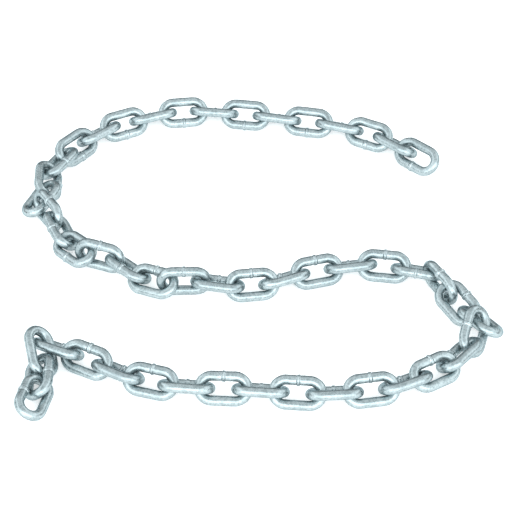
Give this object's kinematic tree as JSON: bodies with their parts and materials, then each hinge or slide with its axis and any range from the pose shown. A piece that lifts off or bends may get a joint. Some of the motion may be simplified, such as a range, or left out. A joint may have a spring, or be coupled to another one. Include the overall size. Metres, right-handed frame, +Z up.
{
  "type": "anchor lead chain",
  "caption": "Length of galvanised oval-link anchor chain in welded round wire, lying in an S on the ground with one end heaped.",
  "frame": {"origin": "middle of the laid chain's outline, on the ground under it", "axes": "+Z up from the ground, +X along the rows of the S, +Y from the heaped end towards the far row"},
  "size_m": [0.3274, 0.321, 0.0236],
  "materials": {
    "galvanised_steel": "satin"
  },
  "bodies": {
    "end_link_top": {"end_link_top": "galvanised_steel"},
    "link_02": {"link_02": "galvanised_steel"},
    "link_03": {"link_03": "galvanised_steel"},
    "link_04": {"link_04": "galvanised_steel"},
    "link_05": {"link_05": "galvanised_steel"},
    "link_06": {"link_06": "galvanised_steel"},
    "link_07": {"link_07": "galvanised_steel"},
    "link_08": {"link_08": "galvanised_steel"},
    "link_09": {"link_09": "galvanised_steel"},
    "link_10": {"link_10": "galvanised_steel"},
    "link_11": {"link_11": "galvanised_steel"},
    "link_12": {"link_12": "galvanised_steel"},
    "link_13": {"link_13": "galvanised_steel"},
    "link_14": {"link_14": "galvanised_steel"},
    "link_15": {"link_15": "galvanised_steel"},
    "link_16": {"link_16": "galvanised_steel"},
    "link_17": {"link_17": "galvanised_steel"},
    "link_18": {"link_18": "galvanised_steel"},
    "link_19": {"link_19": "galvanised_steel"},
    "link_20": {"link_20": "galvanised_steel"},
    "link_21": {"link_21": "galvanised_steel"},
    "link_22": {"link_22": "galvanised_steel"},
    "link_23": {"link_23": "galvanised_steel"},
    "link_24": {"link_24": "galvanised_steel"},
    "link_25": {"link_25": "galvanised_steel"},
    "link_26": {"link_26": "galvanised_steel"},
    "link_27": {"link_27": "galvanised_steel"},
    "link_28": {"link_28": "galvanised_steel"},
    "link_29": {"link_29": "galvanised_steel"},
    "link_30": {"link_30": "galvanised_steel"},
    "link_31": {"link_31": "galvanised_steel"},
    "link_32": {"link_32": "galvanised_steel"},
    "link_33": {"link_33": "galvanised_steel"},
    "link_34": {"link_34": "galvanised_steel"},
    "link_35": {"link_35": "galvanised_steel"},
    "link_36": {"link_36": "galvanised_steel"},
    "link_37": {"link_37": "galvanised_steel"},
    "link_38": {"link_38": "galvanised_steel"},
    "link_39": {"link_39": "galvanised_steel"},
    "link_40": {"link_40": "galvanised_steel"},
    "link_41": {"link_41": "galvanised_steel"},
    "link_42": {"link_42": "galvanised_steel"},
    "link_43": {"link_43": "galvanised_steel"},
    "link_44": {"link_44": "galvanised_steel"},
    "link_45": {"link_45": "galvanised_steel"},
    "link_46": {"link_46": "galvanised_steel"},
    "link_47": {"link_47": "galvanised_steel"},
    "link_48": {"link_48": "galvanised_steel"},
    "link_49": {"link_49": "galvanised_steel"},
    "end_link_bottom": {"end_link_bottom": "galvanised_steel"}
  },
  "joints": [
    {"name": "swing_01_02", "type": "hinge", "parent": "link_02", "child": "end_link_top", "pos_m": [0.1109, 0.1043, 0.0093], "axis": [0, 0, 1], "range_deg": [-15, 17]},
    {"name": "swing_02_03", "type": "hinge", "parent": "link_03", "child": "link_02", "pos_m": [0.0946, 0.1179, 0.0093], "axis": [0, 0, -1], "range_deg": [-18, 8]},
    {"name": "swing_03_04", "type": "hinge", "parent": "link_04", "child": "link_03", "pos_m": [0.0751, 0.1301, 0.0093], "axis": [0, 0, 1], "range_deg": [-12, 14]},
    {"name": "swing_04_05", "type": "hinge", "parent": "link_05", "child": "link_04", "pos_m": [0.0525, 0.1375, 0.0093], "axis": [0, 0, -1], "range_deg": [-9, 11]},
    {"name": "swing_05_06", "type": "hinge", "parent": "link_06", "child": "link_05", "pos_m": [0.0292, 0.1423, 0.0093], "axis": [0, 0, 1], "range_deg": [-18, 2]},
    {"name": "swing_06_07", "type": "hinge", "parent": "link_07", "child": "link_06", "pos_m": [0.0059, 0.1471, 0.0093], "axis": [0, 0, -1], "range_deg": [-6, 15]},
    {"name": "swing_07_08", "type": "hinge", "parent": "link_08", "child": "link_07", "pos_m": [-0.0182, 0.1465, 0.0093], "axis": [0, 0, 1], "range_deg": [-2, 18]},
    {"name": "swing_08_09", "type": "hinge", "parent": "link_09", "child": "link_08", "pos_m": [-0.0413, 0.1528, 0.0093], "axis": [0, 0, -1], "range_deg": [-18, 8]},
    {"name": "swing_09_10", "type": "hinge", "parent": "link_10", "child": "link_09", "pos_m": [-0.0647, 0.1499, 0.0093], "axis": [0, 0, 1], "range_deg": [-8, 18]},
    {"name": "swing_10_11", "type": "hinge", "parent": "link_11", "child": "link_10", "pos_m": [-0.0859, 0.1401, 0.0093], "axis": [0, 0, -1], "range_deg": [-18, 15]},
    {"name": "swing_11_12", "type": "hinge", "parent": "link_12", "child": "link_11", "pos_m": [-0.1059, 0.1305, 0.0093], "axis": [0, 0, 1], "range_deg": [-4, 18]},
    {"name": "swing_12_13", "type": "hinge", "parent": "link_13", "child": "link_12", "pos_m": [-0.1209, 0.1151, 0.0093], "axis": [0, 0, -1], "range_deg": [-18, 14]},
    {"name": "swing_13_14", "type": "hinge", "parent": "link_14", "child": "link_13", "pos_m": [-0.1329, 0.098, 0.0087], "axis": [0, 0, 1], "range_deg": [-16, 9]},
    {"name": "swing_14_15", "type": "hinge", "parent": "link_15", "child": "link_14", "pos_m": [-0.1456, 0.0844, 0.0083], "axis": [0, 0, -1], "range_deg": [-3, 11]},
    {"name": "swing_15_16", "type": "hinge", "parent": "link_16", "child": "link_15", "pos_m": [-0.1507, 0.0609, 0.0092], "axis": [0, 0, 1], "range_deg": [-7, 11]},
    {"name": "swing_16_17", "type": "hinge", "parent": "link_17", "child": "link_16", "pos_m": [-0.1468, 0.0458, 0.0097], "axis": [0, 0, -1], "range_deg": [-5, 18]},
    {"name": "swing_17_18", "type": "hinge", "parent": "link_18", "child": "link_17", "pos_m": [-0.1369, 0.0228, 0.0109], "axis": [0, 0, 1], "range_deg": [-1, 13]},
    {"name": "swing_18_19", "type": "hinge", "parent": "link_19", "child": "link_18", "pos_m": [-0.1274, 0.0067, 0.0084], "axis": [0, 0, -1], "range_deg": [-11, 1]},
    {"name": "swing_19_20", "type": "hinge", "parent": "link_20", "child": "link_19", "pos_m": [-0.1158, -0.0058, 0.0105], "axis": [0, 0, 1], "range_deg": [-8, 7]},
    {"name": "swing_20_21", "type": "hinge", "parent": "link_21", "child": "link_20", "pos_m": [-0.0905, -0.0165, 0.0103], "axis": [0, 0, -1], "range_deg": [-16, 4]},
    {"name": "swing_21_22", "type": "hinge", "parent": "link_22", "child": "link_21", "pos_m": [-0.0757, -0.0284, 0.0083], "axis": [0, 0, 1], "range_deg": [-5, 4]},
    {"name": "swing_22_23", "type": "hinge", "parent": "link_23", "child": "link_22", "pos_m": [-0.0603, -0.0381, 0.0108], "axis": [0, 0, -1], "range_deg": [-5, 12]},
    {"name": "swing_23_24", "type": "hinge", "parent": "link_24", "child": "link_23", "pos_m": [-0.0322, -0.0386, 0.0113], "axis": [0, 0, 1], "range_deg": [-3, 18]},
    {"name": "swing_24_25", "type": "hinge", "parent": "link_25", "child": "link_24", "pos_m": [-0.0126, -0.0446, 0.0097], "axis": [0, 0, -1], "range_deg": [-2, 16]},
    {"name": "swing_25_26", "type": "hinge", "parent": "link_25", "child": "link_26", "pos_m": [0.0101, -0.0377, 0.0093], "axis": [0, 0, 1], "range_deg": [-18, 7]},
    {"name": "swing_26_27", "type": "hinge", "parent": "link_26", "child": "link_27", "pos_m": [0.031, -0.0277, 0.0093], "axis": [0, 0, -1], "range_deg": [-13, 13]},
    {"name": "swing_27_28", "type": "hinge", "parent": "link_27", "child": "link_28", "pos_m": [0.0538, -0.0215, 0.0093], "axis": [0, 0, 1], "range_deg": [-16, 10]},
    {"name": "swing_28_29", "type": "hinge", "parent": "link_28", "child": "link_29", "pos_m": [0.0771, -0.0179, 0.0093], "axis": [0, 0, -1], "range_deg": [-18, 4]},
    {"name": "swing_29_30", "type": "hinge", "parent": "link_29", "child": "link_30", "pos_m": [0.0998, -0.0229, 0.0088], "axis": [0, 0, 1], "range_deg": [-18, 9]},
    {"name": "swing_30_31", "type": "hinge", "parent": "link_30", "child": "link_31", "pos_m": [0.1174, -0.0286, 0.0102], "axis": [0, 0, -1], "range_deg": [-4, 17]},
    {"name": "swing_31_32", "type": "hinge", "parent": "link_31", "child": "link_32", "pos_m": [0.1316, -0.0516, 0.0112], "axis": [0, 0, 1], "range_deg": [-6, 6]},
    {"name": "swing_32_33", "type": "hinge", "parent": "link_32", "child": "link_33", "pos_m": [0.1422, -0.066, 0.0081], "axis": [0, 0, -1], "range_deg": [-4, 5]},
    {"name": "swing_33_34", "type": "hinge", "parent": "link_33", "child": "link_34", "pos_m": [0.1457, -0.0808, 0.012], "axis": [0, 0, 1], "range_deg": [-13, 7]},
    {"name": "swing_34_35", "type": "hinge", "parent": "link_34", "child": "link_35", "pos_m": [0.1397, -0.0967, 0.0094], "axis": [0, 0, -1], "range_deg": [-18, 12]},
    {"name": "swing_35_36", "type": "hinge", "parent": "link_35", "child": "link_36", "pos_m": [0.1249, -0.1136, 0.0083], "axis": [0, 0, 1], "range_deg": [-7, 18]},
    {"name": "swing_36_37", "type": "hinge", "parent": "link_36", "child": "link_37", "pos_m": [0.1065, -0.1257, 0.009], "axis": [0, 0, -1], "range_deg": [-11, 15]},
    {"name": "swing_37_38", "type": "hinge", "parent": "link_37", "child": "link_38", "pos_m": [0.0864, -0.1367, 0.0093], "axis": [0, 0, 1], "range_deg": [-6, 18]},
    {"name": "swing_38_39", "type": "hinge", "parent": "link_38", "child": "link_39", "pos_m": [0.063, -0.1387, 0.0093], "axis": [0, 0, -1], "range_deg": [-18, 9]},
    {"name": "swing_39_40", "type": "hinge", "parent": "link_39", "child": "link_40", "pos_m": [0.0397, -0.1422, 0.0093], "axis": [0, 0, 1], "range_deg": [-13, 15]},
    {"name": "swing_40_41", "type": "hinge", "parent": "link_40", "child": "link_41", "pos_m": [0.0165, -0.1365, 0.0093], "axis": [0, 0, -1], "range_deg": [-18, 5]},
    {"name": "swing_41_42", "type": "hinge", "parent": "link_41", "child": "link_42", "pos_m": [-0.007, -0.1345, 0.0093], "axis": [0, 0, 1], "range_deg": [-8, 18]},
    {"name": "swing_42_43", "type": "hinge", "parent": "link_42", "child": "link_43", "pos_m": [-0.0308, -0.1371, 0.0093], "axis": [0, 0, -1], "range_deg": [-7, 18]},
    {"name": "swing_43_44", "type": "hinge", "parent": "link_43", "child": "link_44", "pos_m": [-0.0542, -0.1343, 0.0093], "axis": [0, 0, 1], "range_deg": [-12, 17]},
    {"name": "swing_44_45", "type": "hinge", "parent": "link_44", "child": "link_45", "pos_m": [-0.0767, -0.1278, 0.0093], "axis": [0, 0, -1], "range_deg": [-18, 11]},
    {"name": "swing_45_46", "type": "hinge", "parent": "link_45", "child": "link_46", "pos_m": [-0.0966, -0.1156, 0.0093], "axis": [0, 0, 1], "range_deg": [-18, 15]},
    {"name": "swing_46_47", "type": "hinge", "parent": "link_46", "child": "link_47", "pos_m": [-0.1158, -0.1032, 0.0091], "axis": [0, 0, -1], "range_deg": [-12, 11]},
    {"name": "swing_47_48", "type": "hinge", "parent": "link_47", "child": "link_48", "pos_m": [-0.1297, -0.0956, 0.0114], "axis": [0, 0, 1], "range_deg": [-18, 2]},
    {"name": "swing_48_49", "type": "hinge", "parent": "link_48", "child": "link_49", "pos_m": [-0.1373, -0.1177, 0.0086], "axis": [0, 0, -1], "range_deg": [-14, 9]},
    {"name": "swing_49_50", "type": "hinge", "parent": "link_49", "child": "end_link_bottom", "pos_m": [-0.1384, -0.1332, 0.008], "axis": [0, 0, 1], "range_deg": [-5, 3]}
  ]
}
